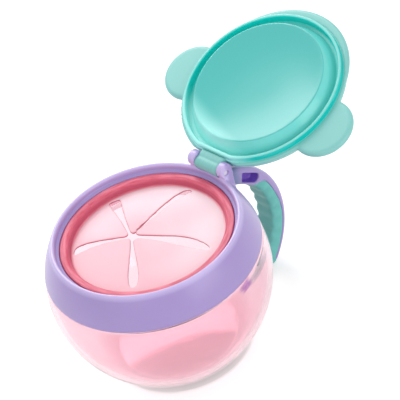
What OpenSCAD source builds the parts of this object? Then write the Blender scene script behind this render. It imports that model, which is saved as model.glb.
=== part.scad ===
// Toddler snack container: a clear ball-shaped bowl, a screw-on collar with a
// soft slit insert and a carrying handle, and a hinged lid shown laid open.
// Millimetres. +Z is up, the hinge and the handle are on the +Y side, and the
// origin is the middle of the flat base on the bowl's axis.

/* [Bowl] */
// Outside radius of the ball
bowl_r = 46; // [44:0.5:50]
// Height of the ball's centre above the table
ball_z = 37.5; // [36:0.5:39]
// Thickness of the bowl's wall
bowl_wall = 2.2; // [1.6:0.1:2.8]
// Thickness of the bowl's floor
floor_t = 2.6; // [2:0.1:4]
// Height of the shoulder above the ball's centre
shoulder_h = 10.9; // [10:0.1:12]
// Thickness of the neck's wall
neck_wall = 1.8; // [1.4:0.1:2.2]

/* [Thread] */
// Rise of the thread in one whole turn
thread_lead = 12; // [9:0.5:12]
// How far a thread ridge stands off its wall
thread_depth = 0.9; // [0.7:0.05:1]
// Height of a thread ridge at its root
thread_h = 1.7; // [1.4:0.1:1.8]
// Angle that one bowl ridge covers
ridge_span = 60; // [50:1:66]
// Angle that one collar ridge covers
lug_span = 44; // [30:1:48]
// Radial clearance between ridge tips and the wall they face
thread_play = 0.4; // [0.3:0.05:0.5]
// Axial clearance between a bowl ridge and a collar ridge
thread_slack = 0.35; // [0.25:0.05:0.5]

/* [Collar] */
// How far the collar stands proud of the ball
collar_proud = 0.2; // [0:0.05:0.5]
// Gap between the collar's lower edge and the bowl's shoulder
collar_gap = 0.4; // [0.3:0.05:0.6]
// Height of the crest above the ball's centre
crest_h = 25.2; // [24.5:0.1:26]
// Thickness of the crest wall
crest_t = 1.9; // [1.6:0.1:2.3]
// Depth of the ledge below the crest
recess_d = 2.8; // [2.6:0.1:3]
// Width of the ledge that holds the insert down
ledge_w = 1.5; // [1.2:0.1:1.8]
// Thickness of that ledge
ledge_t = 1.2; // [1:0.1:1.5]
// How far the skirt's bore lies outside the mouth
skirt_step = 1.8; // [1.6:0.1:2]
// Thickness of the skirt that carries the thread
skirt_t = 1.8; // [1.6:0.1:2]
// Thickness of the collar's outer skin at the coring groove
skin_t = 2.2; // [1.8:0.1:2.6]
// Depth of the coring groove in the collar's lower edge
core_d = 3.2; // [2:0.2:4]

/* [Hinge] */
// Height of the hinge axis above the crest
hinge_up = 2.25; // [2.1:0.05:2.4]
// Distance of the hinge axis behind the mouth
hinge_back = 1.68; // [1.5:0.05:1.9]
// Radius of the hinge pin
pin_r = 1.25; // [1:0.05:1.4]
// Radial running clearance of the pin in the knuckle
pin_play = 0.05; // [0.03:0.01:0.1]
// How far the pin's ends lie inside the lugs' outer faces
pin_sink = 0.5; // [0.3:0.1:0.8]
// Radius of the lid's knuckle
knuckle_r = 2.75; // [2.6:0.05:2.9]
// Width of the lid's knuckle
knuckle_w = 12.4; // [11:0.2:13]
// Thickness of each lug
lug_t = 3.3; // [2.6:0.1:3.6]
// Radius of a lug's rounded top
lug_r = 3.2; // [3:0.1:3.3]
// Height of the centre of that round above the hinge axis
lug_up = 0.8; // [0.5:0.05:0.9]
// Distance of that centre behind the hinge axis
lug_back = 0.3; // [0:0.1:0.5]
// Sideways clearance between the knuckle and a lug
lug_play = 0.2; // [0.1:0.05:0.3]
// Height of the strap's top above the hinge axis, with the lid closed
strap_top = 4.4; // [4.2:0.1:4.6]
// Running clearance at the knuckle
knuckle_play = 0.3; // [0.2:0.05:0.4]

/* [Handle] */
// Width of the handle
handle_w = 11; // [9.5:0.5:12]
// Radius of the handle's inner curve
handle_r = 27.8; // [27:0.2:28.6]
// Thickness of the handle with its grip
handle_t = 7.9; // [7.2:0.1:8.5]
// Thickness of the hard spine behind the grip's upper half
spine_t = 3.1; // [2.8:0.1:3.6]
// Thickness of the hard spine behind the grip's lower half
spine_low = 2.2; // [1.8:0.1:2.6]
// Finger gap between the ball and the handle's inner curve
finger_gap = 13.4; // [12.5:0.1:14.5]
// How far the handle's top line lies below the crest
arm_drop = 0; // [-0.2:0.1:0.4]
// Radius that rounds the handle's long edges
edge_r = 1.8; // [1:0.1:1.9]
// Width of the spine's rib inside the grip
rib_w = 5; // [4:0.5:6]
// Height of that rib
rib_h = 2.2; // [1.4:0.1:2.6]
// Angle on the handle's curve of the coring pocket's middle
pocket_a = 46; // [45:0.5:48]
// How far the pocket's middle lies inside the middle of the arm
pocket_in = 0.6; // [0.3:0.1:0.7]
// How far the pocket leans from the arm's own line
pocket_lean = 6; // [2:1:8]
// Slant of the pocket's flat end
pocket_slant = 17; // [0:1:20]
// Length of the coring pocket in the arm's side
pocket_len = 10.2; // [8:0.1:10.6]
// Height of the coring pocket
pocket_h = 4.2; // [3.6:0.1:4.4]
// Thickness of the web between the two pockets
pocket_web = 1.6; // [1:0.2:3]
// Angle on the handle's curve where the tongue sits
tongue_a = 71; // [69:1:73]
// Width of the tongue that seats the handle in the collar
tongue_w = 7; // [5:0.5:8]
// Height of that tongue
tongue_h = 5; // [4:0.5:6]
// How deep the tongue goes into the collar
tongue_d = 2.4; // [1.6:0.1:2.6]
// Clearance round the tongue
tongue_play = 0.1; // [0.05:0.05:0.2]

/* [Grip] */
// Angle on the handle's curve where the grip's upper end runs out
grip_top = 41.5; // [39:0.5:43]
// Angle over which the upper end grows to the grip's full thickness
grip_fade = 15; // [13:1:20]
// Number of finger grooves across the grip
groove_count = 7; // [4:1:7]
// Angle on the handle's curve of the lowest finger groove
groove_first = -36.2; // [-37:0.2:-35]
// Angle between two finger grooves
groove_pitch = 11.2; // [10.4:0.2:11.4]
// Depth of a finger groove
groove_d = 0.8; // [0.4:0.05:0.9]
// Radius of a finger groove
groove_r = 2.4; // [1.8:0.1:3]

/* [Insert] */
// Width of the insert's upper ring
ring_w = 3.6; // [3.2:0.1:4]
// Depth of the slit face below the ring's top
face_d = 3.5; // [3:0.1:3.8]
// Rise of the slit face at its middle
face_rise = 1.5; // [0.8:0.1:1.6]
// Thickness of the slit face
face_t = 1; // [0.8:0.1:1.3]
// Thickness of the insert's wall
insert_wall = 1.2; // [1:0.1:1.5]
// Thickness of the flange that is clamped under the collar's ledge
flange_t = 1.3; // [1:0.1:1.6]
// Clearance between the insert and the parts that hold it
insert_play = 0.1; // [0.08:0.02:0.2]
// Sideways place of the point where the slits meet
star_x = -5.9; // [-7:0.1:0]
// Front-to-back place of the point where the slits meet
star_y = -3.5; // [-5:0.1:0]
// Width of a slit at its belly
slit_wide = 4.2; // [2.4:0.2:4.8]
// Width of a slit where it starts
slit_thin = 0.9; // [0.6:0.1:1.4]
// Least distance from the insert's wall to a slit's far end
slit_edge = 1.5; // [1.2:0.1:3]
// Radius of the soft flaps' tips
flap_tip = 1.6; // [0.8:0.1:2]

/* [Lid] */
// How far the lid is laid open from closed
lid_open = 162; // [150:1:163]
// Gap between the closed shell's edge and the crest
lid_gap = 0.7; // [0.5:0.1:0.9]
// How far the liner's rim reaches below the shell's edge
rim_drop = 2.2; // [2:0.1:2.4]
// Clearance between the liner's rim and the mouth
rim_gap = 2.2; // [2:0.05:2.4]
// Width of the liner's rim
rim_w = 1.5; // [1.3:0.1:1.8]
// Height of the liner's rim
rim_h = 4.8; // [4.4:0.1:5.2]
// How far the shell's edge reaches out beyond the liner's rim
shell_lap = 1.6; // [1.3:0.1:1.9]
// Radius of the thumb lip at the front
lip_r = 34.5; // [33:0.1:35.5]
// How far the thumb lip's centre lies towards the front
lip_shift = 5; // [4:0.1:6]
// Thickness of the thumb lip
lip_t = 2.8; // [2.2:0.1:3.4]
// Height of the dome above the shell's edge
dome_h = 13.5; // [13:0.5:16]
// Wall thickness of the dome
shell_wall = 1.7; // [1.4:0.1:2.2]
// How far the flat beside the hinge is cut in from the shell's edge
flat_cut = 2.1; // [2:0.1:2.6]
// Length of the straight stretch of the liner's rim beside the hinge
rim_straight = 21; // [18:0.5:22]
// How far the plug face stands proud of the rim
plug_proud = 2.6; // [2:0.1:2.7]
// Radius of the plug's face
plug_r = 28.7; // [27:0.1:29.2]
// Hollow of the plug's face at its middle
plug_dish = 2.2; // [0.6:0.1:2.6]
// Size of the rounded edge round the plug's face
plug_edge = 0.5; // [0.3:0.1:0.8]
// Wall thickness of the liner
liner_t = 1.4; // [1.2:0.1:1.6]
// Depth of the groove between the rim and the plug
groove_depth = 3.4; // [3:0.1:3.4]
// Width of that groove's floor
groove_w = 1.9; // [1.5:0.1:2.4]

/* [Ears] */
// Radius of an ear
ear_r = 13.2; // [11:0.2:14]
// Sideways place of an ear's centre
ear_x = 36.3; // [34:0.1:38]
// How far an ear's centre lies towards the hinge
ear_y = 5.3; // [0:0.1:7]
// Thickness of an ear
ear_t = 3.2; // [2.4:0.1:4]

/* [Hidden] */
$fn = 96;
eps = 0.02;
far = 100;
starts = 3;

// Bowl and collar levels
shoulder_z = ball_z + shoulder_h;
crest_z = ball_z + crest_h;
collar_r = bowl_r + collar_proud;
collar_z = shoulder_z + collar_gap;
crest_mid_z = crest_z - crest_t / 2;
crest_out_r = sqrt(collar_r * collar_r - (crest_mid_z - ball_z) * (crest_mid_z - ball_z));
mouth_r = crest_out_r - crest_t;
ledge_z = crest_z - recess_d;
ledge_r = mouth_r - ledge_w;
skirt_r = mouth_r + skirt_step;
neck_r = skirt_r - thread_play - thread_depth;

// Insert levels: its flange lies between the collar's ledge and the neck
flange_top = ledge_z - ledge_t - insert_play;
neck_top = flange_top - flange_t - insert_play;
flange_r = skirt_r - thread_play * 2;
ring_r = ledge_r - 2 * insert_play;
well_r = ring_r - ring_w;
ring_top = ledge_z - insert_play;
face_z = ring_top - face_d;
// Each slit's angle, its bow sideways, the place of its belly along it, its width as
// a share of slit_wide, and how much further its end lies from the wall than slit_edge
slits = [[-130.5, -2.6, 0.82, 0.95, 0], [-44.5, 0.4, 0.7, 0.95, 3], [20.5, 2.2, 0.62, 1.15, 3],
         [88, 2.6, 0.86, 0.65, 0], [151.5, 0, 0.9, 1.1, 0]];
slit_steps = 32;

// Thread: both sets of ridges lie on one helix, so the turn keeps them apart
ridge_z = (shoulder_z + neck_top) / 2 + 0.2;
ridge_bite = 0.5;
tip_h = thread_h / 2;
lug_drop = thread_h + thread_slack;

// Hinge
hinge_y = mouth_r + hinge_back;
hinge_z = crest_z + hinge_up;
lug_in = knuckle_w / 2 + lug_play;
lug_out = lug_in + lug_t;
lug_y = hinge_y + lug_back;
lug_z = hinge_z + lug_up;
lug_root_z = collar_z + core_d + 1.4;

// Handle
handle_out = handle_r + handle_t;
handle_y = bowl_r + finger_gap - handle_r;
handle_z = crest_z - arm_drop - handle_out;
handle_mid = handle_r + handle_t / 2;
split_r = handle_out - spine_t;
tip_step = 0.05;
tip_r = handle_t / 2 - tip_step;
tip_a = -asin((handle_z - tip_r) / handle_mid);
end_a = tip_a - 0.5;
tongue_z = handle_z + handle_mid * sin(tongue_a);
arm_a = 84;
thin_from = 18;
thin_over = 30;
rib_stop = 5;
joint_bite = tongue_d / 8;

// Lid, in its closed place
shell_z = crest_z + lid_gap;
rim_z = shell_z - rim_drop;
rim_r = mouth_r - rim_gap;
rim_fit = 0.1;
shell_r = rim_r + shell_lap;
flat_y = shell_r - flat_cut;
rim_flat = flat_y - shell_wall / 2 + 0.15;
seat_z = rim_z + rim_h;
groove_z = rim_z + groove_depth;
plug_z = rim_z - plug_proud;
rim_in = rim_r - rim_w + 0.1;
plug_foot_r = rim_in - groove_w;
strap_dip = 0.4;
dish_steps = 8;
straight_fall = 3;

function arc(cx, cy, r, a0, a1, n) =
    [for (i = [0:n]) let (a = a0 + (a1 - a0) * i / n) [cx + r * cos(a), cy + r * sin(a)]];
function smooth(t) = let (u = max(0, min(1, t))) u * u * (3 - 2 * u);
// Radius where the soft grip meets the hard frame, at angle a on the handle
function grip_edge(a) = let (
    spine = spine_t - (spine_t - spine_low) * smooth((thin_from - a) / thin_over))
    handle_r + (handle_out - spine - handle_r) * smooth((grip_top - a) / grip_fade);
// That meeting line, from the handle's lower end up to angle a
function grip_line(a_end) = [for (i = [0:48]) let (a = end_a + (a_end - end_a) * i / 48)
    [handle_y + grip_edge(a) * cos(a), handle_z + grip_edge(a) * sin(a)]];
// Height of the slit face at radius r
function face_at(r) = face_z + face_rise * (1 - (r / well_r) * (r / well_r));

// One helical thread ridge, from its root radius to its tip radius
module ridge(root, tip, span, z) {
    steps = 12;
    rise = thread_lead / 360;
    section = [[root, -thread_h / 2], [tip, -tip_h / 2], [tip, tip_h / 2], [root, thread_h / 2]];
    rings = [for (i = [0:steps]) let (a = span * i / steps)
        for (p = section) [p[0] * cos(a), p[0] * sin(a), z + a * rise + p[1]]];
    sides = [for (i = [0:steps - 1]) for (k = [0:3]) let (m = (k + 1) % 4)
        [i * 4 + k, i * 4 + m, (i + 1) * 4 + m, (i + 1) * 4 + k]];
    ends = [[3, 2, 1, 0], [for (k = [0:3]) steps * 4 + k]];
    faces = concat(sides, ends);
    polyhedron(rings, root < tip ? faces : [for (f = faces) [for (k = [len(f) - 1:-1:0]) f[k]]]);
}

module ridges(root, tip, span, z) {
    for (s = [0:starts - 1]) rotate([0, 0, s * 360 / starts]) ridge(root, tip, span, z);
}

// Puts 2D shapes drawn in (y, z) on edge, from x = -w/2 to w/2
module across(w) {
    rotate([90, 0, 90]) translate([0, 0, -w / 2]) linear_extrude(w) children();
}

// A bar along X, centred on the side view's point (y, z)
module bar(y, z, r, w) {
    translate([-w / 2, y, z]) rotate([0, 90, 0]) cylinder(r = r, h = w);
}

// The sphere that the collar's outside lies on
module ball(r) {
    translate([0, 0, ball_z]) sphere(r = r);
}

module bowl() {
    inner = bowl_r - bowl_wall;
    color([0.98, 0.78, 0.83, 0.5]) {
        difference() {
            union() {
                intersection() {
                    ball(bowl_r);
                    cylinder(r = bowl_r + 1, h = shoulder_z);
                }
                translate([0, 0, ball_z]) cylinder(r = neck_r, h = neck_top - ball_z);
            }
            intersection() {
                ball(inner);
                translate([0, 0, floor_t])
                    cylinder(r = bowl_r, h = shoulder_z - bowl_wall - floor_t);
            }
            translate([0, 0, ball_z])
                cylinder(r = neck_r - neck_wall, h = neck_top - ball_z + 1);
        }
        ridges(neck_r - ridge_bite, neck_r + thread_depth, ridge_span, ridge_z);
    }
}

// Section of the collar's ring: outer curve, crest, well, ledge, bore and the
// coring groove that leaves an even skin and skirt
module collar_section() {
    low = collar_z - ball_z;
    skin_r = collar_r - skin_t;
    skirt_out = skirt_r + skirt_t;
    polygon(concat(
        arc(0, ball_z, collar_r, asin(low / collar_r), asin((crest_mid_z - ball_z) / collar_r), 14),
        arc(mouth_r + crest_t / 2, crest_mid_z, crest_t / 2, 18, 180, 9),
        [[mouth_r, ledge_z], [ledge_r, ledge_z], [ledge_r, ledge_z - ledge_t],
         [skirt_r, ledge_z - ledge_t], [skirt_r, collar_z], [skirt_out, collar_z],
         [skirt_out, collar_z + core_d]],
        arc(0, ball_z, skin_r, asin((low + core_d) / skin_r), asin(low / skin_r), 4)));
}

// Side view of a hinge lug, rooted in the collar's wall
module lug_side() {
    taper = 0.6;
    bite = 0.5;
    translate([lug_y, lug_z]) circle(r = lug_r);
    polygon([[lug_y - lug_r, lug_z], [lug_y + lug_r, lug_z], [lug_y + lug_r - taper, lug_root_z],
             [skirt_r + bite, lug_root_z], [skirt_r + bite, ledge_z - ledge_t],
             [mouth_r + bite, ledge_z], [mouth_r + bite, crest_z]]);
}

module collar() {
    color([0.68, 0.62, 0.84]) {
        difference() {
            union() {
                rotate_extrude() collar_section();
                for (s = [-1, 1]) translate([s * (lug_in + lug_out) / 2, 0, 0])
                    across(lug_t) lug_side();
            }
            bar(hinge_y, hinge_z, knuckle_r + knuckle_play, 2 * lug_in);
            bar(hinge_y, hinge_z, pin_r, 4 * lug_out);
            tongue(tongue_play);
        }
        translate([0, 0, -lug_drop])
            rotate([0, 0, (ridge_span - lug_span) / 2])
                ridges(skirt_r + ridge_bite, skirt_r - thread_depth, lug_span,
                       ridge_z + thread_lead * (ridge_span - lug_span) / 720);
    }
}

// The tongue on the handle's root, or with play its socket in the collar
module tongue(play) {
    y0 = sqrt(collar_r * collar_r - pow(tongue_z - ball_z, 2)) - tongue_d;
    translate([-tongue_w / 2 - play, y0 - play, tongue_z - tongue_h / 2 - play])
        cube([tongue_w + 2 * play, 3 * tongue_d, tongue_h + 2 * play]);
}

// Half the handle's section, from radius r0 out to r1, with rounded long edges
module handle_section(r0, r1, w) {
    translate([r0, -w / 2]) square([r1 - r0 - edge_r, w]);
    translate([r0, -w / 2 + edge_r]) square([r1 - r0, w - 2 * edge_r]);
    for (s = [-1, 1]) translate([r1 - edge_r, s * (w / 2 - edge_r)]) circle(r = edge_r);
}

// The handle's whole bar between two angles
module handle_bar(a0, a1) {
    translate([0, handle_y, handle_z]) rotate([90, 0, 90]) rotate([0, 0, a0])
        rotate_extrude(angle = a1 - a0) {
            handle_section(handle_mid, handle_out, handle_w);
            translate([2 * handle_mid, 0]) mirror([1, 0])
                handle_section(handle_mid, handle_out, handle_w);
        }
}

// The round lower end of the bar, which the soft grip forms: a hair smaller than the bar
module handle_tip() {
    translate([0, handle_y + handle_mid * cos(tip_a), handle_z + handle_mid * sin(tip_a)])
        rotate([90, 0, 90]) rotate([0, 0, tip_a - 180]) rotate_extrude(angle = 180)
            handle_section(0, tip_r, handle_w - 2 * tip_step);
}

// The spine's rib, which the grip is moulded round
module grip_rib() {
    translate([0, handle_y, handle_z]) rotate([90, 0, 90]) rotate([0, 0, tip_a + rib_stop])
        rotate_extrude(angle = grip_top - grip_fade - tip_a - rib_stop)
            translate([split_r - rib_h, -rib_w / 2])
                square([rib_h + spine_t - spine_low / 2, rib_w]);
}

// One coring pocket along the arm: a slanted flat upper end and a round lower end
module pocket_side() {
    mid_r = handle_mid - pocket_in;
    slant = pocket_h / 2 * tan(pocket_slant);
    round_x = pocket_len / 2 - pocket_h / 2;
    translate([handle_y + mid_r * cos(pocket_a), handle_z + mid_r * sin(pocket_a)])
        rotate([0, 0, pocket_a - 90 + pocket_lean]) {
            polygon([[-pocket_len / 2 + slant, -pocket_h / 2], [round_x, -pocket_h / 2],
                     [round_x, pocket_h / 2], [-pocket_len / 2 - slant, pocket_h / 2]]);
            translate([round_x, 0]) circle(r = pocket_h / 2);
        }
}

module handle_frame() {
    deep = (handle_w - pocket_web) / 2;
    color([0.68, 0.62, 0.84]) {
        difference() {
            union() {
                intersection() {
                    handle_bar(end_a, arm_a);
                    across(2 * handle_w) polygon(concat(grip_line(arm_a),
                        arc(handle_y, handle_z, handle_out + edge_r, arm_a, end_a, 24)));
                }
                grip_rib();
            }
            ball(collar_r);
            bar(hinge_y, hinge_z, knuckle_r + knuckle_play, 2 * lug_in);
            for (s = [-1, 1]) translate([s * (pocket_web / 2 + deep), 0, 0])
                across(2 * deep) pocket_side();
        }
        intersection() {
            tongue(0);
            ball(collar_r + joint_bite);
        }
    }
}

module handle_grip() {
    groove_at = handle_r - groove_r + groove_d;
    color([0.36, 0.68, 0.66]) {
        difference() {
            intersection() {
                handle_bar(end_a, grip_top);
                across(2 * handle_w) polygon(concat(grip_line(grip_top),
                    arc(handle_y, handle_z, handle_r - edge_r, grip_top, end_a, 24)));
            }
            grip_rib();
            for (i = [0:groove_count - 1]) let (a = groove_first + i * groove_pitch)
                bar(handle_y + groove_at * cos(a), handle_z + groove_at * sin(a),
                    groove_r, 2 * handle_w);
        }
        handle_tip();
    }
}

// Outline of one slit: a curved centre line from the star's middle towards the wall, with
// a width that grows to the belly and then rounds off
module slit(spec) {
    dir = [cos(spec[0]), sin(spec[0])];
    along = star_x * dir[0] + star_y * dir[1];
    reach = well_r - slit_edge - spec[4];
    off2 = star_x * star_x + star_y * star_y - along * along;
    length = sqrt(reach * reach - off2) - along;
    wide = slit_wide * spec[3];
    belly = spec[2];
    places = [for (i = [0:slit_steps]) i / slit_steps];
    centre = [for (u = places) [2 * u * (1 - u) * belly * length + u * u * length,
                                2 * u * (1 - u) * spec[1] * 1.6]];
    half = [for (u = places) u < belly
        ? (slit_thin + (wide - slit_thin) * smooth(u / belly)) / 2
        : wide / 2 * sqrt(max(0, 1 - pow((u - belly) / (1 - belly), 2)))];
    translate([star_x, star_y]) rotate([0, 0, spec[0]])
        polygon(concat([for (i = [0:slit_steps]) centre[i] + [0, half[i]]],
                       [for (i = [slit_steps - 1:-1:0]) centre[i] - [0, half[i]]]));
}

// All the slits, joined at the star with the flaps' tips rounded
module star() {
    offset(r = -flap_tip, $fn = 32) offset(delta = flap_tip) for (spec = slits) slit(spec);
}

module flap_insert() {
    steps = 8;
    wall_r = well_r + insert_wall;
    top = [for (i = [0:steps]) let (r = well_r * i / steps) [r, face_at(r)]];
    under = [for (i = [steps:-1:0]) let (r = well_r * i / steps) [r, face_at(r) - face_t]];
    color([0.95, 0.55, 0.6]) difference() {
        rotate_extrude() {
            polygon(concat(top, [[well_r, ring_top], [ring_r, ring_top], [ring_r, flange_top],
                [flange_r, flange_top], [flange_r, flange_top - flange_t],
                [wall_r, flange_top - flange_t], [wall_r, face_z - face_t]], under));
        }
        translate([0, 0, face_z - 2 * face_t]) linear_extrude(4 * face_d) star();
    }
}

// Turns the lid from its closed place to the open one it rests in
module laid_open() {
    translate([0, hinge_y, hinge_z]) rotate([-lid_open, 0, 0])
        translate([0, -hinge_y, -hinge_z]) children();
}

// Half a flat-bottomed egg: the dome, or with a smaller radius its cavity
module dome(r, h) {
    rotate_extrude() polygon(concat([[0, 0]], [for (i = [0:18]) let (a = i * 5)
        [r * cos(a), h * sin(a)]]));
}

// Everything on the front side of y
module front_of(y) {
    translate([-far, -2 * far + y, 0]) cube(2 * far);
}

// A flat disc with a fully rounded edge, for the ears and the thumb lip
module round_disc(x, y, r, t) {
    translate([x, y, shell_z]) rotate_extrude() {
        square([r - t / 2, t]);
        translate([r - t / 2, t / 2]) circle(r = t / 2);
    }
}

// Hinge strap: it bridges from the shell's flat to the knuckle
module strap() {
    root_y = flat_y - shell_wall / 2;
    under = crest_z - strap_dip;
    heel_y = mouth_r - strap_dip;
    top = hinge_z + strap_top;
    across(knuckle_w) difference() {
        union() {
            translate([hinge_y, hinge_z]) circle(r = knuckle_r);
            polygon([[root_y, shell_z], [flat_y, under], [heel_y, under],
                     [hinge_y, hinge_z], [hinge_y, hinge_z + knuckle_r],
                     [hinge_y - knuckle_r, top], [root_y, top]]);
        }
        translate([hinge_y, hinge_z]) circle(r = pin_r + pin_play);
    }
}

module lid_shell() {
    cavity_r = rim_r - rim_w - rim_fit;
    cavity_h = shell_z + dome_h - shell_wall - seat_z;
    color([0.58, 0.85, 0.83]) difference() {
        laid_open() {
            difference() {
                union() {
                    intersection() {
                        translate([0, 0, shell_z]) dome(shell_r, dome_h);
                        front_of(flat_y);
                    }
                    for (s = [-1, 1]) round_disc(s * ear_x, ear_y, ear_r, ear_t);
                    round_disc(0, -lip_shift, lip_r, lip_t);
                }
                translate([0, 0, shell_z - 1]) linear_extrude(seat_z - shell_z + 1)
                    rim_outline(-rim_fit);
                intersection() {
                    translate([0, 0, seat_z - eps]) dome(cavity_r, cavity_h);
                    front_of(flat_y - shell_wall);
                }
            }
            strap();
        }
        // the strap's heel stops on the handle's arm
        bar(handle_y, handle_z, handle_out + knuckle_play, 3 * knuckle_w);
    }
}

// Half section of the plug's dished face and its side, raised by t for its inner surface
function plug_line(t) = let (slope = t * 0.7, edge = plug_r - plug_edge - slope) concat(
    [for (i = [0:dish_steps]) let (u = i / dish_steps)
        [edge * u, plug_z + plug_dish * (1 - u * u) + t]],
    [[plug_r + plug_edge / 2 - slope, plug_z + plug_edge + t * 0.3],
     [plug_foot_r - slope * 1.4, t > 0 ? seat_z : groove_z]]);

// Outline of the liner's rim, drawn in by d: a circle with a straight stretch by the hinge
module rim_outline(d) {
    corner = rim_straight / 2 - d / 2;
    round_y = rim_flat - d - straight_fall;
    intersection() {
        union() {
            circle(r = rim_r - d);
            polygon([[-corner - straight_fall, round_y], [-corner, rim_flat - d],
                     [corner, rim_flat - d], [corner + straight_fall, round_y]]);
        }
        translate([-far, -2 * far + rim_flat - d]) square(2 * far);
    }
}

module lid_liner() {
    outside = plug_line(0);
    inside = plug_line(liner_t);
    color([0.4, 0.79, 0.77]) laid_open() {
        translate([0, 0, rim_z]) linear_extrude(rim_h) difference() {
            rim_outline(0);
            rim_outline(rim_w);
        }
        translate([0, 0, groove_z]) linear_extrude(seat_z - groove_z) difference() {
            rim_outline(rim_w / 2);
            circle(r = plug_foot_r + groove_w / 2);
        }
        intersection() {
            rotate_extrude() polygon(concat(outside, [[rim_in, groove_z], [rim_in, seat_z]],
                [for (p = [len(inside) - 1:-1:0]) inside[p]]));
            front_of(rim_flat - rim_w / 2);
        }
    }
}

module hinge_pin() {
    color([0.85, 0.86, 0.88]) bar(hinge_y, hinge_z, pin_r, 2 * (lug_out - pin_sink));
}

bowl();
collar();
handle_frame();
handle_grip();
flap_insert();
lid_shell();
lid_liner();
hinge_pin();
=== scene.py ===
"""Toddler snack container: a clear ball-shaped bowl, a screw-on collar with a soft slit insert
and a carrying handle, and a hinged lid with round ears, laid open. Metres, +Z up."""

import math

import bmesh
import bpy
from mathutils import Matrix, Vector


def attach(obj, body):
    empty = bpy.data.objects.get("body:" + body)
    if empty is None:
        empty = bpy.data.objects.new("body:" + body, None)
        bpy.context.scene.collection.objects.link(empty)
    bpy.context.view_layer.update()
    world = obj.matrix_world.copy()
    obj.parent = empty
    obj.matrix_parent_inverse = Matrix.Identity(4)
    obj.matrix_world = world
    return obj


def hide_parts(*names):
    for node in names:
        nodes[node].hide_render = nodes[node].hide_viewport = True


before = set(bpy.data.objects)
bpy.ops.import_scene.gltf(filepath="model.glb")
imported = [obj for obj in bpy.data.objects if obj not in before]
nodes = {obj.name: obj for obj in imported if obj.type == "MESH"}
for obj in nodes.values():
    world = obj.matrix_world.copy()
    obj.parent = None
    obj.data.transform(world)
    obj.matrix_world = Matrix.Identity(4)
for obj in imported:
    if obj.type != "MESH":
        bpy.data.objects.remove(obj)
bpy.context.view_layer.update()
mm = 0.001

# ---------------------------------------------------------------- camera
# A long lens looks down on the cup from its front right. It is turned a little about its own
# line of sight, so that the cup leans.
ball_z = 37.5 * mm
azimuth = math.radians(54.5)
elevation = math.radians(40.0)
roll = math.radians(16.8)
camera_distance = 1.0
camera_right = 16.39 * mm
camera_up = 29.45 * mm
sensor_width = 36
focal_length = 223.2

toward = Vector((math.sin(azimuth) * math.cos(elevation),
                 -math.cos(azimuth) * math.cos(elevation), math.sin(elevation)))
level = Vector((math.cos(azimuth), math.sin(azimuth), 0))
upward = toward.cross(level)
across = level * math.cos(roll) - upward * math.sin(roll)
above = level * math.sin(roll) + upward * math.cos(roll)
camera_place = Vector((0, 0, ball_z)) + toward * camera_distance
camera_place += across * camera_right + above * camera_up

camera_data = bpy.data.cameras.new("camera")
camera_data.sensor_width = sensor_width
camera_data.lens = focal_length
camera_data.clip_start = 0.05
camera_data.clip_end = 20
camera = bpy.data.objects.new("camera", camera_data)
camera.matrix_world = Matrix((across, above, toward)).transposed().to_4x4()
camera.location = camera_place
bpy.context.scene.collection.objects.link(camera)
bpy.context.scene.camera = camera
bpy.context.scene.view_settings.view_transform = "Standard"

# ---------------------------------------------------------------- studio
# A white sweep: plain white wherever the camera, gloss or clear plastic looks at it, with the
# cup's own shadow on the floor, and a soft contact shade round the bowl's foot that only the
# camera sees. Light comes from all round, strongest from the left and above.
floor_size = 8.0
floor_glow = 0.4
floor_white = 0.8
floor_z = -0.1 * mm
shade_centre = (1.8 * mm, -0.2 * mm, 0)
shade_reach = 40 * mm
shade_levels = ((0, 0.93), (0.55, 0.85), (0.67, 0.60), (0.715, 0.66), (0.77, 1.0))
sky_light = 0.75
lamp_aim = Vector((0, 0, 0.05))


def new_material(name):
    """A material and its empty node tree."""
    material = bpy.data.materials.new(name)
    material.use_nodes = True
    material.node_tree.nodes.clear()
    return material, material.node_tree


def fill_in(tree, node, inputs):
    """Gives a node its named inputs: an output of another node is linked, a value is set."""
    for name, value in inputs.items():
        socket = node.inputs[name]
        if isinstance(value, bpy.types.NodeSocket):
            tree.links.new(value, socket)
        elif socket.type == "RGBA":
            socket.default_value = (*value, 1)
        else:
            socket.default_value = value
    return node


def arithmetic(tree, operation, *values):
    """What a Math node makes of its values."""
    node = tree.nodes.new("ShaderNodeMath")
    node.operation = operation
    return fill_in(tree, node, dict(enumerate(values))).outputs[0]


def on_vectors(tree, operation, *values):
    """The outputs of a Vector Math node: Vector, and Value for a length or a product."""
    node = tree.nodes.new("ShaderNodeVectorMath")
    node.operation = operation
    return fill_in(tree, node, dict(enumerate(values))).outputs


def object_place(tree):
    """Where each point of a piece is."""
    return tree.nodes.new("ShaderNodeTexCoord").outputs["Object"]


def fade(tree, value, start, end, least=0.0, most=1.0, eased=False):
    """Runs from least to most while a value runs from start to end, and is level past them."""
    node = tree.nodes.new("ShaderNodeMapRange")
    if eased:
        node.interpolation_type = "SMOOTHSTEP"
    return fill_in(tree, node, {"Value": value, "From Min": start, "From Max": end,
                                "To Min": least, "To Max": most}).outputs["Result"]


def ramp(tree, value, stops, curve="LINEAR"):
    """A colour that follows a value through stops (position, colour), given in their order."""
    node = fill_in(tree, tree.nodes.new("ShaderNodeValToRGB"), {"Fac": value})
    scale = node.color_ramp
    scale.interpolation = curve
    for stop, (position, colour) in zip(scale.elements, (stops[0], stops[-1])):
        stop.position = position
        stop.color = (*colour, 1)
    for position, colour in stops[1:-1]:
        scale.elements.new(position).color = (*colour, 1)
    return node.outputs["Color"]


def blend(tree, share, under, over, kind="MIX"):
    """A colour with a share of another one over it."""
    node = tree.nodes.new("ShaderNodeMix")
    node.data_type = "RGBA"
    node.blend_type = kind
    return fill_in(tree, node, {"Factor": share, "A": under, "B": over}).outputs["Result"]


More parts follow.
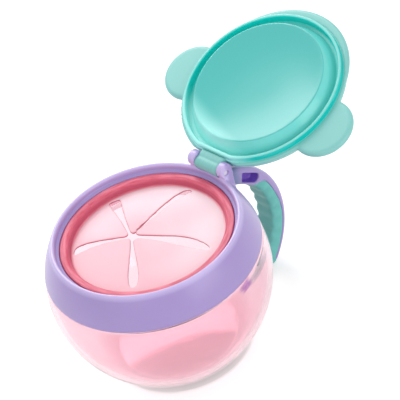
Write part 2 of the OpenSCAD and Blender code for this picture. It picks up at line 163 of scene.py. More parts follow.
def seen_directly(tree):
    """1 for rays from the camera, from gloss and through clear plastic, and 0 for the rest."""
    rays = tree.nodes.new("ShaderNodeLightPath").outputs
    nearer = arithmetic(tree, "MAXIMUM", rays["Is Camera Ray"], rays["Is Glossy Ray"])
    return arithmetic(tree, "MAXIMUM", nearer, rays["Is Transmission Ray"])


bm = bmesh.new()
bmesh.ops.create_grid(bm, x_segments=1, y_segments=1, size=floor_size / 2)
bmesh.ops.translate(bm, verts=bm.verts, vec=(0, 0, floor_z))
floor_mesh = bpy.data.meshes.new("floor")
bm.to_mesh(floor_mesh)
bm.free()
floor = bpy.data.objects.new("floor", floor_mesh)
bpy.context.scene.collection.objects.link(floor)
floor_material, tree = new_material("studio_white")
from_cup = on_vectors(tree, "DISTANCE", object_place(tree), shade_centre)["Value"]
shade_stops = [(share, (grey, grey, grey)) for share, grey in shade_levels]
contact = ramp(tree, fade(tree, from_cup, 0, shade_reach), shade_stops, "EASE")
by_camera = tree.nodes.new("ShaderNodeLightPath").outputs["Is Camera Ray"]
shaded = blend(tree, by_camera, (1, 1, 1), contact)
card_white = (floor_white, floor_white, floor_white)
card = fill_in(tree, tree.nodes.new("ShaderNodeBsdfDiffuse"),
               {"Color": blend(tree, 1, card_white, shaded, "MULTIPLY")})
glow = fill_in(tree, tree.nodes.new("ShaderNodeEmission"),
               {"Color": shaded,
                "Strength": arithmetic(tree, "MULTIPLY", seen_directly(tree), floor_glow)})
together = fill_in(tree, tree.nodes.new("ShaderNodeAddShader"),
                   {0: card.outputs[0], 1: glow.outputs[0]})
fill_in(tree, tree.nodes.new("ShaderNodeOutputMaterial"), {"Surface": together.outputs[0]})
floor_mesh.materials.append(floor_material)

world = bpy.data.worlds.new("studio")
world.use_nodes = True
bpy.context.scene.world = world
tree = world.node_tree
tree.nodes.clear()
plain = fill_in(tree, tree.nodes.new("ShaderNodeBackground"), {"Color": (1, 1, 1), "Strength": 1})
lit = fill_in(tree, tree.nodes.new("ShaderNodeBackground"),
              {"Color": (1, 1, 1), "Strength": sky_light})
sky = fill_in(tree, tree.nodes.new("ShaderNodeMixShader"),
              {0: seen_directly(tree), 1: lit.outputs[0], 2: plain.outputs[0]})
fill_in(tree, tree.nodes.new("ShaderNodeOutputWorld"), {"Surface": sky.outputs[0]})


def softbox(name, place, size, power):
    """A square lamp that faces the cup."""
    data = bpy.data.lights.new(name, "AREA")
    data.shape = "SQUARE"
    data.size = size
    data.energy = power
    lamp = bpy.data.objects.new(name, data)
    lamp.location = place
    lamp.rotation_mode = "QUATERNION"
    lamp.rotation_quaternion = (lamp_aim - Vector(place)).to_track_quat("-Z", "Y")
    bpy.context.scene.collection.objects.link(lamp)


softbox("key_left", (-0.90, 0.47, 0.76), 0.7, 7.0)
softbox("fill_front", (0.35, -1.2, 0.85), 0.9, 2.5)
softbox("side_right", (1.2, 0.15, 0.5), 0.8, 4.0)

# ---------------------------------------------------------------- bowl
# The bowl is one ball of clear pink plastic, moulded with a flat foot, a narrow shoulder and a
# neck with a three-start thread. Its wall has faint flow marks and painted shade that deepens its
# pink towards the foot. Beside the handle it has three painted streaks: grey and purple painted
# refraction of the collar and the handle, and a white painted highlight.
ball_r = 46 * mm
bowl_wall = 2.2 * mm
bowl_floor = 2.6 * mm
shoulder_z = 48.74 * mm
neck_r = 37.92 * mm
neck_in = 36.12 * mm
neck_top = 57.2 * mm
# The fillets, how far their corners lie inside the ball's own, and how many degrees the ball's
# arcs stop short of them.
foot_roll = 1.2 * mm
shoulder_roll = 0.6 * mm
neck_roll = 0.5 * mm
under_roll = 0.8 * mm
floor_roll = 2 * mm
foot_tuck = 0.4 * mm
shoulder_tuck = 0.05 * mm
under_tuck = 0.1 * mm
floor_tuck = 0.6 * mm
foot_cut = 2
shoulder_cut = 1
floor_cut = 4
arc_steps = 64
fillet_steps = 5
around = 192
merge_gap = 0.01 * mm
crisp_edge = math.radians(40)
thread_starts = 3
thread_lead = 12 * mm
thread_turn = math.radians(60)
ridge_z = 53 * mm
ridge_root = neck_r - 0.5 * mm
ridge_tip = neck_r + 0.88 * mm
ridge_root_half = 0.85 * mm
ridge_tip_half = 0.42 * mm
ridge_steps = 20
wall_tones = ((0.35, (0.925, 0.76, 0.81)), (0.7, (0.945, 0.81, 0.85)))
depth_colour = (0.97, 0.50, 0.62)
depth_density = 60
flow_scale = 35
flow_strength = 0.2
flow_depth = 0.6 * mm
# Painted shade: the bowl turns a deeper pink towards its foot.
foot_shade_colour = (0.91, 0.66, 0.715)
foot_fade_top = 9 * mm
foot_fade_end = 2 * mm
# For each streak of painted refraction or painted highlight: the turn of its middle and half its
# length in degrees, the height of its middle, its slope a degree and half its width in
# millimetres, its strength and its colour.
painted_light_streaks = ((25, 17, 44.3, -0.045, 1.3, 1.0, (0.42, 0.46, 0.50)),
           (27, 20, 46.6, -0.03, 0.9, 0.95, (1.0, 0.98, 0.99)),
           (10, 6, 45.5, 0.05, 1.3, 1.0, (0.32, 0.13, 0.52)))
streak_core = 0.35


def arc(centre_z, radius, start, end):
    """Corners (r, z, 0) on a round stretch of an outline, from one angle in degrees to another."""
    turns = [math.radians(start + (end - start) * i / arc_steps) for i in range(arc_steps + 1)]
    return [(radius * math.cos(turn), centre_z + radius * math.sin(turn), 0) for turn in turns]


def rounded(corners):
    """Points of an open outline through corners (r, z, fillet), with an arc at each fillet."""
    points = []
    for i, (x, y, fillet) in enumerate(corners):
        if fillet == 0:
            points.append((x, y))
            continue
        here = Vector((x, y))
        back = (Vector(corners[i - 1][:2]) - here).normalized()
        on = (Vector(corners[i + 1][:2]) - here).normalized()
        half = back.angle(on) / 2
        centre = here + (back + on).normalized() * fillet / math.sin(half)
        start = here + back * fillet / math.tan(half) - centre
        end = here + on * fillet / math.tan(half) - centre
        for k in range(fillet_steps + 1):
            points.append(tuple(centre + start.slerp(end, k / fillet_steps) * fillet))
    return points


def lathe(points):
    """A bmesh turned from an outline of (r, z) points about the Z axis."""
    bm = bmesh.new()
    verts = [bm.verts.new((r, 0, z)) for r, z in points]
    edges = [bm.edges.new(pair) for pair in zip(verts, verts[1:])]
    bmesh.ops.spin(bm, geom=verts + edges, axis=(0, 0, 1), angle=math.tau, steps=around,
                   use_merge=True)
    bmesh.ops.remove_doubles(bm, verts=bm.verts, dist=merge_gap)
    bmesh.ops.recalc_face_normals(bm, faces=bm.faces)
    return bm


def add_piece(bm, name, material):
    """Makes an object of a bmesh. It is shaded smooth, except at its crisp edges."""
    mesh = bpy.data.meshes.new(name)
    bm.to_mesh(mesh)
    bm.free()
    for face in mesh.polygons:
        face.use_smooth = True
    mesh.set_sharp_from_angle(angle=crisp_edge)
    mesh.materials.append(material)
    piece = bpy.data.objects.new(name, mesh)
    bpy.context.scene.collection.objects.link(piece)
    return piece


def noise(tree, place, scale, detail=2):
    """Soft noise from 0 to 1. A larger scale makes it finer."""
    return fill_in(tree, tree.nodes.new("ShaderNodeTexNoise"),
                   {"Vector": place, "Scale": scale, "Detail": detail}).outputs["Fac"]


def bump(tree, height, strength, depth):
    """A normal that follows a height."""
    return fill_in(tree, tree.nodes.new("ShaderNodeBump"),
                   {"Height": height, "Strength": strength, "Distance": depth}).outputs[0]


def each_axis(tree, place):
    """A place as its X, Y and Z outputs."""
    return fill_in(tree, tree.nodes.new("ShaderNodeSeparateXYZ"), {0: place}).outputs


clear, tree = new_material("clear_pink")
place = object_place(tree)
at = each_axis(tree, place)
flow = noise(tree, place, flow_scale)
body = ramp(tree, flow, wall_tones)
# Painted shade deepens the pink towards the foot.
foot_shade_share = fade(tree, at["Z"], foot_fade_top, foot_fade_end, eased=True)
body = blend(tree, foot_shade_share, body, foot_shade_colour)
turn_about = arithmetic(tree, "ARCTAN2", at["Y"], at["X"])
# Painted refraction and a painted highlight, laid on the wall's colour as three streaks.
for turn, reach, height, slope, half, strength, colour in painted_light_streaks:
    aside = arithmetic(tree, "SUBTRACT", turn_about, math.radians(turn))
    line_z = arithmetic(tree, "MULTIPLY_ADD", aside, math.degrees(slope * mm), height * mm)
    off_line = arithmetic(tree, "SUBTRACT", at["Z"], line_z)
    within = []
    for off, width in ((aside, math.radians(reach)), (off_line, half * mm)):
        size = arithmetic(tree, "ABSOLUTE", off)
        within.append(fade(tree, size, width, streak_core * width, eased=True))
    share = arithmetic(tree, "MULTIPLY", arithmetic(tree, "MULTIPLY", *within), strength)
    body = blend(tree, share, body, colour)
glass = fill_in(tree, tree.nodes.new("ShaderNodeBsdfPrincipled"),
                {"Base Color": body, "Transmission Weight": 1.0, "Roughness": 0.03, "IOR": 1.46,
                 "Normal": bump(tree, flow, flow_strength, flow_depth)})
depth_tint = fill_in(tree, tree.nodes.new("ShaderNodeVolumeAbsorption"),
                     {"Color": depth_colour, "Density": depth_density})
fill_in(tree, tree.nodes.new("ShaderNodeOutputMaterial"),
        {"Surface": glass.outputs[0], "Volume": depth_tint.outputs[0]})

inside_r = ball_r - bowl_wall
under_z = shoulder_z - bowl_wall
foot_a = -math.degrees(math.asin(ball_z / ball_r))
shoulder_a = math.degrees(math.asin((shoulder_z - ball_z) / ball_r))
floor_a = -math.degrees(math.asin((ball_z - bowl_floor) / inside_r))
under_a = math.degrees(math.asin((under_z - ball_z) / inside_r))
foot_r = ball_r * math.cos(math.radians(foot_a))
floor_r = inside_r * math.cos(math.radians(floor_a))
shoulder_r = ball_r * math.cos(math.radians(shoulder_a))
under_r = inside_r * math.cos(math.radians(under_a))
outside = arc(ball_z, ball_r, foot_a + foot_cut, shoulder_a - shoulder_cut)
inside = arc(ball_z, inside_r, under_a - shoulder_cut, floor_a + floor_cut)
bowl_outline = rounded([(0, 0, 0), (foot_r - foot_tuck, 0, foot_roll)] + outside + [
    (shoulder_r - shoulder_tuck, shoulder_z, shoulder_roll),
    (neck_r, shoulder_z, neck_roll),
    (neck_r, neck_top, neck_roll),
    (neck_in, neck_top, neck_roll),
    (neck_in, under_z, under_roll),
    (under_r - under_tuck, under_z, under_roll)] + inside + [
    (floor_r - floor_tuck, bowl_floor, floor_roll), (0, bowl_floor, 0)])
bowl = add_piece(lathe(bowl_outline), "clear_bowl", clear)

bm = bmesh.new()
for _ in range(thread_starts):
    section = [bm.verts.new((r, 0, ridge_z + z)) for r, z in (
        (ridge_root, -ridge_root_half), (ridge_tip, -ridge_tip_half),
        (ridge_tip, ridge_tip_half), (ridge_root, ridge_root_half))]
    face = bm.faces.new(section)
    rise = thread_lead * thread_turn / math.tau / ridge_steps
    bmesh.ops.spin(bm, geom=[face] + section + list(face.edges), axis=(0, 0, 1),
                   angle=thread_turn, steps=ridge_steps, dvec=(0, 0, rise))
    bmesh.ops.rotate(bm, verts=bm.verts,
                     matrix=Matrix.Rotation(math.tau / thread_starts, 3, "Z"))
bmesh.ops.recalc_face_normals(bm, faces=bm.faces)
ridges = add_piece(bm, "ridges", clear)
joined = bowl.modifiers.new("thread", "BOOLEAN")
joined.operation = "UNION"
joined.object = ridges
result = bowl.evaluated_get(bpy.context.evaluated_depsgraph_get())
with_thread = bpy.data.meshes.new_from_object(result)
bowl.modifiers.clear()
bowl.data = with_thread
bpy.data.objects.remove(ridges)
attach(bowl, "bowl")
# The clear bowl casts no shadow, so that light reaches its inside and the floor under it.
bowl.visible_shadow = False
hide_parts("bowl")

# ---------------------------------------------------------------- insert
# The insert is one soft moulding in translucent coral rubber: a ring, a short wall and a thin
# face that five curved slits split into flaps. Use has left the flaps a little out of level.
star = Vector((-5.9 * mm, -3.5 * mm))
slit_lines = ((-130.5, -2.6), (-44.5, 0.4), (20.5, 2.2), (88, 2.6), (151.5, 0.0))
slit_length = 26 * mm
slit_bow = 3.2 * mm
flap_lifts = (0.0, 0.0, 0.9 * mm, -0.5 * mm, 0.2 * mm)
flap_root = 15 * mm
well_r = 32.12 * mm
ring_top = 59.8 * mm
ring_roll = 1.7 * mm
ring_margin = 0.3 * mm
face_margin = 0.6 * mm
face_z = 56.3 * mm
face_rise = 1.5 * mm
face_thins = 0.1 * mm
thin_from_rim = 2 * mm
thin_to_top = 1 * mm
insert_voxel = 0.36 * mm
insert_passes = 6
face_tones = ((0.35, (0.89, 0.51, 0.58)), (0.65, (0.94, 0.70, 0.76)))
coral_tones = ((0.35, (0.63, 0.08, 0.145)), (0.65, (0.81, 0.19, 0.275)))
edge_colour = (0.56, 0.09, 0.155)
coral_from = 30.6 * mm
coral_full = 32.1 * mm
# Painted light: the face is painted paler along this direction.
painted_light_towards = (3.5, 10, 0)
wound_length = 4 * mm
upright = 0.3
level_enough = 0.9
cloud_scale = 28
fine_scale = 900
grain_strength = 0.12
grain_depth = 0.06 * mm


def resurfaced(node, name, voxel, passes):
    """A merged copy of a CAD node with an even skin, its edges rolled over as in a mould."""
    bm = bmesh.new()
    bm.from_mesh(nodes[node].data)
    bmesh.ops.remove_doubles(bm, verts=bm.verts, dist=merge_gap)
    mesh = bpy.data.meshes.new(name)
    bm.to_mesh(mesh)
    bm.free()
    piece = bpy.data.objects.new(name, mesh)
    bpy.context.scene.collection.objects.link(piece)
    skin = piece.modifiers.new("skin", "REMESH")
    skin.mode = "VOXEL"
    skin.voxel_size = voxel
    skin.use_smooth_shade = True
    even = piece.modifiers.new("even", "SMOOTH")
    even.factor = 0.5
    even.iterations = passes
    result = piece.evaluated_get(bpy.context.evaluated_depsgraph_get())
    fresh = bpy.data.meshes.new_from_object(result)
    piece.modifiers.clear()
    piece.data = fresh
    fresh.materials.clear()
    for face in fresh.polygons:
        face.use_smooth = True
    return piece


def smooth_step(t):
    """0 below 0, 1 above 1, and an easy curve between."""
    t = min(1.0, max(0.0, t))
    return t * t * (3 - 2 * t)


def flap_at(heading, far_share, distance):
    """The number of the flap that a heading from the star falls in, between two bowed slits."""
    flap = len(slit_lines) - 1
    for k, (angle, bow) in enumerate(slit_lines):
        aside = slit_bow * far_share * (1 - far_share) * bow
        if heading >= angle + math.degrees(math.atan2(aside, max(distance, mm))):
            flap = k
    return flap


insert = resurfaced("flap_insert", "soft_insert", insert_voxel, insert_passes)
for vertex in insert.data.vertices:
    flat_r = math.hypot(vertex.co.x, vertex.co.y)
    over = flat_r - well_r
    under = ring_top - vertex.co.z
    if over > ring_roll or under > ring_roll or flat_r < well_r - ring_margin:
        continue
    slope = math.pi / 4 * (1 + (max(over, 0) - max(under, 0)) / ring_roll)
    new_r = well_r + ring_roll * (1 - math.cos(slope))
    vertex.co.x *= new_r / flat_r
    vertex.co.y *= new_r / flat_r
    vertex.co.z = ring_top - ring_roll * (1 - math.sin(slope))
for vertex in insert.data.vertices:
    flat = Vector(vertex.co[:2])
    if flat.length > well_r - face_margin:
        continue
    face_top = face_z + face_rise * (1 - (flat.length / well_r) ** 2)
    rim_share = smooth_step((well_r - flat.length) / thin_from_rim)
    below = smooth_step((face_top - vertex.co.z) / thin_to_top)
    vertex.co.z += face_thins * rim_share * below
    from_star = flat - star
    far_share = min(1.0, from_star.length / slit_length)
    heading = math.degrees(math.atan2(from_star.y, from_star.x))
    lift = flap_lifts[flap_at(heading, far_share, from_star.length)]
    vertex.co.z += lift * smooth_step(1 - from_star.length / flap_root)
insert.data.update()


def off_axis(tree, place, keep=(1, 1, 0)):
    """How far each place is from the Z axis, or from the axis that keep has its zero on."""
    flat = on_vectors(tree, "MULTIPLY", place, keep)[0]
    return on_vectors(tree, "LENGTH", flat)["Value"]


rubber, tree = new_material("soft_coral")
place = object_place(tree)
at = each_axis(tree, place)
radius = off_axis(tree, place)
# Painted light makes the face paler towards one side.
painted_light_slope = on_vectors(tree, "DOT_PRODUCT", place, painted_light_towards)["Value"]
cloudy = arithmetic(tree, "ADD", noise(tree, place, cloud_scale, 1), painted_light_slope)
pale = ramp(tree, cloudy, face_tones)
turn_about = arithmetic(tree, "ARCTAN2", at["Y"], at["X"])
wound = fill_in(tree, tree.nodes.new("ShaderNodeCombineXYZ"),
                {"X": arithmetic(tree, "MULTIPLY", turn_about, wound_length),
                 "Y": radius, "Z": at["Z"]}).outputs[0]
coral = ramp(tree, noise(tree, wound, fine_scale), coral_tones)
on_ring = fade(tree, radius, coral_from, coral_full, eased=True)
rubber_colour = blend(tree, on_ring, pale, coral)
facing = tree.nodes.new("ShaderNodeTexCoord").outputs["Normal"]
level_share = arithmetic(tree, "ABSOLUTE", each_axis(tree, facing)["Z"])
cut_side = fade(tree, level_share, upright, level_enough, 1, 0)
rubber_colour = blend(tree, cut_side, rubber_colour, edge_colour)
grain = noise(tree, place, fine_scale)
soft = fill_in(tree, tree.nodes.new("ShaderNodeBsdfPrincipled"),
               {"Base Color": rubber_colour, "Roughness": 0.42, "IOR": 1.41,
                "Subsurface Weight": 0.35, "Subsurface Radius": (1.0, 0.5, 0.5),
                "Subsurface Scale": 2.5 * mm,
                "Normal": bump(tree, grain, grain_strength, grain_depth)})
fill_in(tree, tree.nodes.new("ShaderNodeOutputMaterial"), {"Surface": soft.outputs[0]})
insert.data.materials.append(rubber)
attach(insert, "insert")
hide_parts("flap_insert")

# ---------------------------------------------------------------- collar
# The collar is one moulding in satin lavender plastic, with the hinge lugs and the thread
# moulded in. Its skin has the faint grain of a spark-eroded mould, and a painted highlight
# lightens the inside of its crest.
lavender_colour = (0.375, 0.28, 0.595)
# Painted highlight on the inside of the crest, towards its top.
crest_painted_highlight = (0.62, 0.53, 0.86)
crest_from = 60.4 * mm
crest_full = 62.4 * mm
crest_share = 0.8
crest_outer = 41.5 * mm
crest_inner = 39.8 * mm
colour_drift = 0.04
skin_depth = 0.04 * mm
collar_voxel = 0.42 * mm
collar_passes = 6
lip_top = 49.6 * mm
lip_height = 0.7 * mm
lip_inner = 44 * mm
lip_width = 0.4 * mm
lip_drop = 0.42 * mm
lip_out = 0.2 * mm


def moulded_skin_group():
    """Node group: the height of a moulded skin's fine grain, and a roughness that wanders."""
    group = bpy.data.node_groups.new("moulded_skin", "ShaderNodeTree")
    face = group.interface
    for name, value in (("Grain Size", 0.6 * mm), ("Roughness", 0.4), ("Wander", 0.06)):
        socket = face.new_socket(name=name, in_out="INPUT", socket_type="NodeSocketFloat")
        socket.default_value = value
    for name in ("Height", "Roughness"):
        face.new_socket(name=name, in_out="OUTPUT", socket_type="NodeSocketFloat")
    given = group.nodes.new("NodeGroupInput").outputs
    place = object_place(group)
    fineness = arithmetic(group, "DIVIDE", 1.0, given["Grain Size"])
    smudge = arithmetic(group, "SUBTRACT", noise(group, place, 45), 0.5)
    roughness = arithmetic(group, "MULTIPLY_ADD", smudge, given["Wander"], given["Roughness"])
    fill_in(group, group.nodes.new("NodeGroupOutput"),
            {"Height": noise(group, place, fineness, 3), "Roughness": roughness})
    return group


moulded_skin = moulded_skin_group()


def moulded_plastic(name, colour, roughness, grain=0.6 * mm, depth=0.15, coat=0.0):
    """A moulded plastic in one colour that drifts a little. Its grain is grain metres wide."""
    material, tree = new_material(name)
    skin = tree.nodes.new("ShaderNodeGroup")
    skin.node_tree = moulded_skin
    fill_in(tree, skin, {"Grain Size": grain, "Roughness": roughness})
    darker = [part * (1 - colour_drift) for part in colour]
    lighter = [part * (1 + colour_drift) for part in colour]
    cloud = noise(tree, object_place(tree), 30)
    shade = ramp(tree, cloud, ((0.3, darker), (0.7, lighter)))
    shade.node.name = "shade"
    plastic = fill_in(tree, tree.nodes.new("ShaderNodeBsdfPrincipled"),
                      {"Base Color": shade, "Roughness": skin.outputs["Roughness"], "IOR": 1.5,
                       "Coat Weight": coat, "Coat Roughness": 0.2,
                       "Normal": bump(tree, skin.outputs["Height"], depth, skin_depth)})
    plastic.name = "plastic"
    fill_in(tree, tree.nodes.new("ShaderNodeOutputMaterial"), {"Surface": plastic.outputs[0]})
    return material


def fit_piece(piece, material, body, node):
    """Gives a piece its material and puts it in place of its CAD node."""
    piece.data.materials.append(material)
    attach(piece, body)
    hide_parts(node)


lavender = moulded_plastic("lavender_plastic", lavender_colour, 0.34, coat=0.3)
tree = lavender.node_tree
place = object_place(tree)
# Painted highlight: the inside of the crest is lightened towards its top.
near_top = fade(tree, each_axis(tree, place)["Z"], crest_from, crest_full, 0, crest_share)
inner_side = fade(tree, off_axis(tree, place), crest_outer, crest_inner)
crest_highlight_share = arithmetic(tree, "MULTIPLY", near_top, inner_side)
crest = blend(tree, crest_highlight_share, tree.nodes["shade"].outputs["Color"], crest_painted_highlight)
fill_in(tree, tree.nodes["plastic"],
        {"Base Color": crest, "Subsurface Weight": 0.2, "Subsurface Scale": 2 * mm})
collar = resurfaced("collar", "screw_collar", collar_voxel, collar_passes)
for vertex in collar.data.vertices:
    flat_r = math.hypot(vertex.co.x, vertex.co.y)
    share = smooth_step((lip_top - vertex.co.z) / lip_height)
    share *= smooth_step((flat_r - lip_inner) / lip_width)
    vertex.co.z -= lip_drop * share
    vertex.co.x *= 1 + lip_out * share / flat_r
    vertex.co.y *= 1 + lip_out * share / flat_r
collar.data.update()
fit_piece(collar, lavender, "collar", "collar")

# ---------------------------------------------------------------- handle frame
# The handle's arm and spine are moulded in the collar's lavender plastic and seated in its
# side by a tongue. A coring pocket is sunk in each side of the arm, and painted shade darkens
# its inside. Painted shadow, tinted by a painted teal reflection of the lid, darkens the arm's
# root.
handle_y = 31.6 * mm
handle_z = 27.0 * mm
pocket_r = 31.15 * mm
pocket_half = 2.7 * mm
pocket_top = 4.9 * mm
# Painted shade inside the coring pockets.
pocket_painted_shade = (0.26, 0.14, 0.62)
# Painted shadow at the arm's root, tinted by a painted teal reflection of the lid.
root_from = 50.5 * mm
root_full = 44.5 * mm
root_share = 0.85
root_painted_shadow = (0.07, 0.15, 0.32)
frame_voxel = 0.3 * mm
frame_passes = 8

arm_plastic = moulded_plastic("lavender_arm", lavender_colour, 0.3, coat=0.3)
tree = arm_plastic.node_tree
place = object_place(tree)
at = each_axis(tree, place)
# Painted shade inside the coring pocket on each side of the arm.
from_centre = on_vectors(tree, "SUBTRACT", place, (0, handle_y, handle_z))[0]
handle_r = off_axis(tree, from_centre, (0, 1, 1))
in_band = arithmetic(tree, "COMPARE", handle_r, pocket_r, pocket_half)
in_depth = arithmetic(tree, "COMPARE", at["X"], 0, pocket_top)
in_pocket = arithmetic(tree, "MULTIPLY", in_band, in_depth)
arm = blend(tree, in_pocket, tree.nodes["shade"].outputs["Color"], pocket_painted_shade)
# Painted shadow and painted teal reflection at the arm's root.
root_shadow_share = fade(tree, at["Y"], root_from, root_full, 0, root_share, eased=True)
fill_in(tree, tree.nodes["plastic"], {"Base Color": blend(tree, root_shadow_share, arm, root_painted_shadow)})
spine = resurfaced("handle_frame", "handle_spine", frame_voxel, frame_passes)
fit_piece(spine, arm_plastic, "collar", "handle_frame")

# ---------------------------------------------------------------- handle grip
# The grip is soft teal rubber moulded round the spine's rib, with broad shallow finger ribs
# across its inner face and a dull skin.
grip_voxel = 0.34 * mm
grip_passes = 10
soft_depth = 30.6 * mm
soft_passes = 64
groove_first = -36.2
groove_pitch = 11.2
groove_low = -46
groove_low_fade = 8
groove_high = 38
groove_high_fade = 6
wrap = 0.7 * mm
wrap_r = 29 * mm
wrap_fade = 4 * mm
wrap_x = 3 * mm
wrap_x_fade = 2.2 * mm

grip_rubber = moulded_plastic("teal_grip", (0.14, 0.52, 0.485), 0.5, 0.4 * mm, 0.3)
grip = resurfaced("handle_grip", "finger_grip", grip_voxel, grip_passes)
grip_axis = Vector((handle_y, handle_z))
bm = bmesh.new()
bm.from_mesh(grip.data)
finger_side = [v for v in bm.verts if (Vector(v.co[1:]) - grip_axis).length < soft_depth]
for _ in range(soft_passes):
    bmesh.ops.smooth_vert(bm, verts=finger_side, factor=0.5, use_axis_x=True, use_axis_y=True,
                          use_axis_z=True)
for vertex in bm.verts:
    side = Vector(vertex.co[1:]) - grip_axis
    turn = math.degrees(math.atan2(side.y, side.x))
    wave = 0.5 + 0.5 * math.cos(math.tau * (turn - groove_first) / groove_pitch)
    share = 1 - smooth_step((side.length - wrap_r) / wrap_fade)
    share *= smooth_step((turn - groove_low) / groove_low_fade)
    share *= smooth_step((groove_high - turn) / groove_high_fade)
    edge = smooth_step((abs(vertex.co.x) - wrap_x) / wrap_x_fade)
    vertex.co.x -= math.copysign(wrap * wave * share * edge, vertex.co.x)
bm.to_mesh(grip.data)
bm.free()
fit_piece(grip, grip_rubber, "collar", "handle_grip")

# ---------------------------------------------------------------- hinge pin
# The pin is plain steel, bevelled at both ends. It is pressed through the collar's two lugs, and
# the lid's strap turns on it.
pin_r = 1.25 * mm
pin_half = 9.2 * mm
pin_bevel = 0.3 * mm
pin_steps = 48
pin_bevel_steps = 3
hinge = Vector((0, 39.104 * mm, 64.95 * mm))
bm = bmesh.new()
bmesh.ops.create_cone(bm, cap_ends=True, segments=pin_steps, radius1=pin_r, radius2=pin_r,
                      depth=2 * pin_half)
rims = [e for e in bm.edges if abs(e.verts[0].co.z - e.verts[1].co.z) < merge_gap]
bmesh.ops.bevel(bm, geom=rims, offset=pin_bevel, segments=pin_bevel_steps, profile=0.5,
                affect="EDGES", material=-1)
bmesh.ops.rotate(bm, verts=bm.verts, matrix=Matrix.Rotation(math.pi / 2, 3, "Y"))
bmesh.ops.translate(bm, verts=bm.verts, vec=hinge)
steel = moulded_plastic("pin_steel", (0.60, 0.55, 0.68), 0.35, 0.3 * mm, 0.05)
steel.node_tree.nodes["plastic"].inputs["Metallic"].default_value = 0.9
pin = add_piece(bm, "pressed_pin", steel)
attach(pin, "collar")
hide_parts("hinge_pin")

# ---------------------------------------------------------------- lid shell
# The lid's outer shell is satin pale teal plastic: a shallow dome with two round ears, a thumb
# lip at the front and the hinge strap, whose top keeps the fine lines of its moulding.
lid_voxel = 0.44 * mm
lid_passes = 6
strap_from = 9 * mm
strap_full = 6.5 * mm
strap_share = 0.5
strap_colour = (0.13, 0.42, 0.40)
line_scale = (1600, 60, 60)

lid_plastic = moulded_plastic("pale_teal_plastic", (0.235, 0.588, 0.56), 0.38)
tree = lid_plastic.node_tree
place = object_place(tree)
stretched = fill_in(tree, tree.nodes.new("ShaderNodeMapping"),
                    {"Vector": place, "Scale": line_scale}).outputs[0]
from_hinge = on_vectors(tree, "DISTANCE", place, hinge)["Value"]
on_strap = fade(tree, from_hinge, strap_from, strap_full, 0, strap_share)
line_share = arithmetic(tree, "MULTIPLY", noise(tree, stretched, 1), on_strap)
lined = blend(tree, line_share, tree.nodes["shade"].outputs["Color"], strap_colour)
fill_in(tree, tree.nodes["plastic"], {"Base Color": lined})
shell = resurfaced("lid_shell", "lid_outer_shell", lid_voxel, lid_passes)
fit_piece(shell, lid_plastic, "lid", "lid_shell")

# ---------------------------------------------------------------- lid liner
# The liner is a glossier, deeper teal moulding pressed in the shell: a dished plug, a groove
# and a thin upright rim, which runs straight for a short way beside the hinge. It is drawn
# closed and then laid open about the pin.
lid_open = math.radians(162)
rim_r = 35.2 * mm
rim_w = 1.5 * mm
rim_z = 61.2 * mm
rim_flat = 34.02 * mm
rim_foot = 0.55 * mm
rim_foot_roll = 0.15 * mm
rim_foot_slope = 0.1 * mm
rim_roll = 0.45 * mm
seat_z = 66.0 * mm
seat_roll = 0.2 * mm
shell_z = 63.4 * mm
groove_z = 64.6 * mm
groove_roll = 0.6 * mm
plug_z = 58.6 * mm
plug_r = 28.7 * mm
plug_foot = 31.9 * mm
plug_roll = 0.7 * mm
plug_dish = 2.2 * mm
dish_power = 2.6
dish_steps = 16
liner_t = 1.4 * mm
back_in = 1.5 * mm
back_roll = 0.4 * mm
# The liner's colour runs in bands out from its middle: the plug's side is lightened with painted
# light, and the groove, the rim's inner wall and the seam at the rim's foot are darkened with
# painted shade.
plug_side_painted_light = (0.17, 0.70, 0.66)
groove_painted_shade = (0.00, 0.66, 0.60)
groove_wall_painted_shade = (0.00, 0.64, 0.59)
rim_side = (0.24, 0.68, 0.64)
seam_painted_shade = (0.00, 0.58, 0.53)
liner_tones_light_and_shade = ((0.065, (0.075, 0.50, 0.47)), (0.12, plug_side_painted_light), (0.60, plug_side_painted_light),
               (0.69, groove_painted_shade), (0.73, groove_wall_painted_shade), (0.78, rim_side), (0.86, rim_side),
               (0.893, seam_painted_shade), (0.91, seam_painted_shade), (0.935, (0.20, 0.60, 0.56)))
bands_from = 28 * mm
bands_to = 36 * mm
# Painted light lightens the liner towards the hinge.
pale_from = 22 * mm
pale_full = 32 * mm
pale_slant = -0.35
painted_light_colour = (0.36, 0.86, 0.82)


def dished(lowest):
    """Corners (r, z, 0) of the plug's dished face, from its middle out."""
    shares = [i / dish_steps for i in range(dish_steps)]
    return [(plug_r * share, lowest + plug_dish * (1 - share ** dish_power), 0)
            for share in shares]


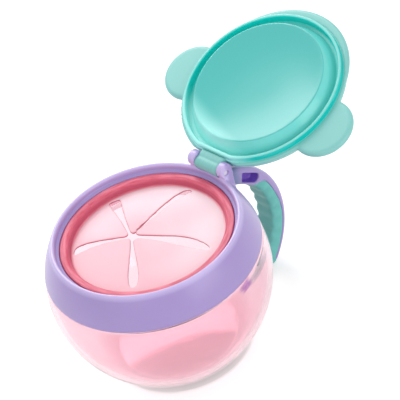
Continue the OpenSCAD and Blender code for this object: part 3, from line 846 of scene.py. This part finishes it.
liner_outline = rounded(dished(plug_z) + [
    (plug_r, plug_z, plug_roll),
    (plug_foot, groove_z, groove_roll),
    (rim_r - rim_w, groove_z, groove_roll),
    (rim_r - rim_w, rim_z, rim_roll),
    (rim_r, rim_z, rim_roll),
    (rim_r, shell_z, rim_foot_roll),
    (rim_r + rim_foot, shell_z + rim_foot_slope, 0),
    (rim_r + rim_foot, shell_z + rim_foot, 0),
    (rim_r, shell_z + rim_foot, 0),
    (rim_r, seat_z, seat_roll),
    (plug_foot - back_in, seat_z, back_roll),
    (plug_r - liner_t, plug_z + liner_t, back_roll)] + dished(plug_z + liner_t)[::-1])
bm = lathe(liner_outline)
for vertex in bm.verts:
    flat_r = math.hypot(vertex.co.x, vertex.co.y)
    over = vertex.co.y - rim_flat / rim_r * flat_r
    if flat_r > plug_foot and over > 0:
        vertex.co.y -= over * smooth_step((flat_r - plug_foot) / (rim_r - rim_w - plug_foot))
bmesh.ops.rotate(bm, verts=bm.verts, cent=hinge, matrix=Matrix.Rotation(-lid_open, 3, "X"))

liner_plastic, tree = new_material("teal_plastic")
place = object_place(tree)
turn_back = Matrix.Rotation(lid_open, 3, "X")
closed_place = fill_in(tree, tree.nodes.new("ShaderNodeMapping"),
                       {"Vector": place, "Rotation": (lid_open, 0, 0),
                        "Location": hinge - turn_back @ hinge}).outputs[0]
closed_at = each_axis(tree, closed_place)
# Bands of the liner's own teal with painted light and painted shade, by distance from its middle.
outward = fade(tree, off_axis(tree, closed_place), bands_from, bands_to)
band = ramp(tree, outward, liner_tones_light_and_shade)
# Painted light, stronger towards the hinge.
slanted = arithmetic(tree, "MULTIPLY_ADD", closed_at["X"], pale_slant, closed_at["Y"])
painted_light_share = fade(tree, slanted, pale_from, pale_full, eased=True)
gloss = fade(tree, noise(tree, place, 60), 0, 1, 0.20, 0.24)
plastic = fill_in(tree, tree.nodes.new("ShaderNodeBsdfPrincipled"),
                  {"Base Color": blend(tree, painted_light_share, band, painted_light_colour), "Roughness": gloss,
                   "IOR": 1.5})
fill_in(tree, tree.nodes.new("ShaderNodeOutputMaterial"), {"Surface": plastic.outputs[0]})
liner = add_piece(bm, "lid_plug_liner", liner_plastic)
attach(liner, "lid")
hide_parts("lid_liner")
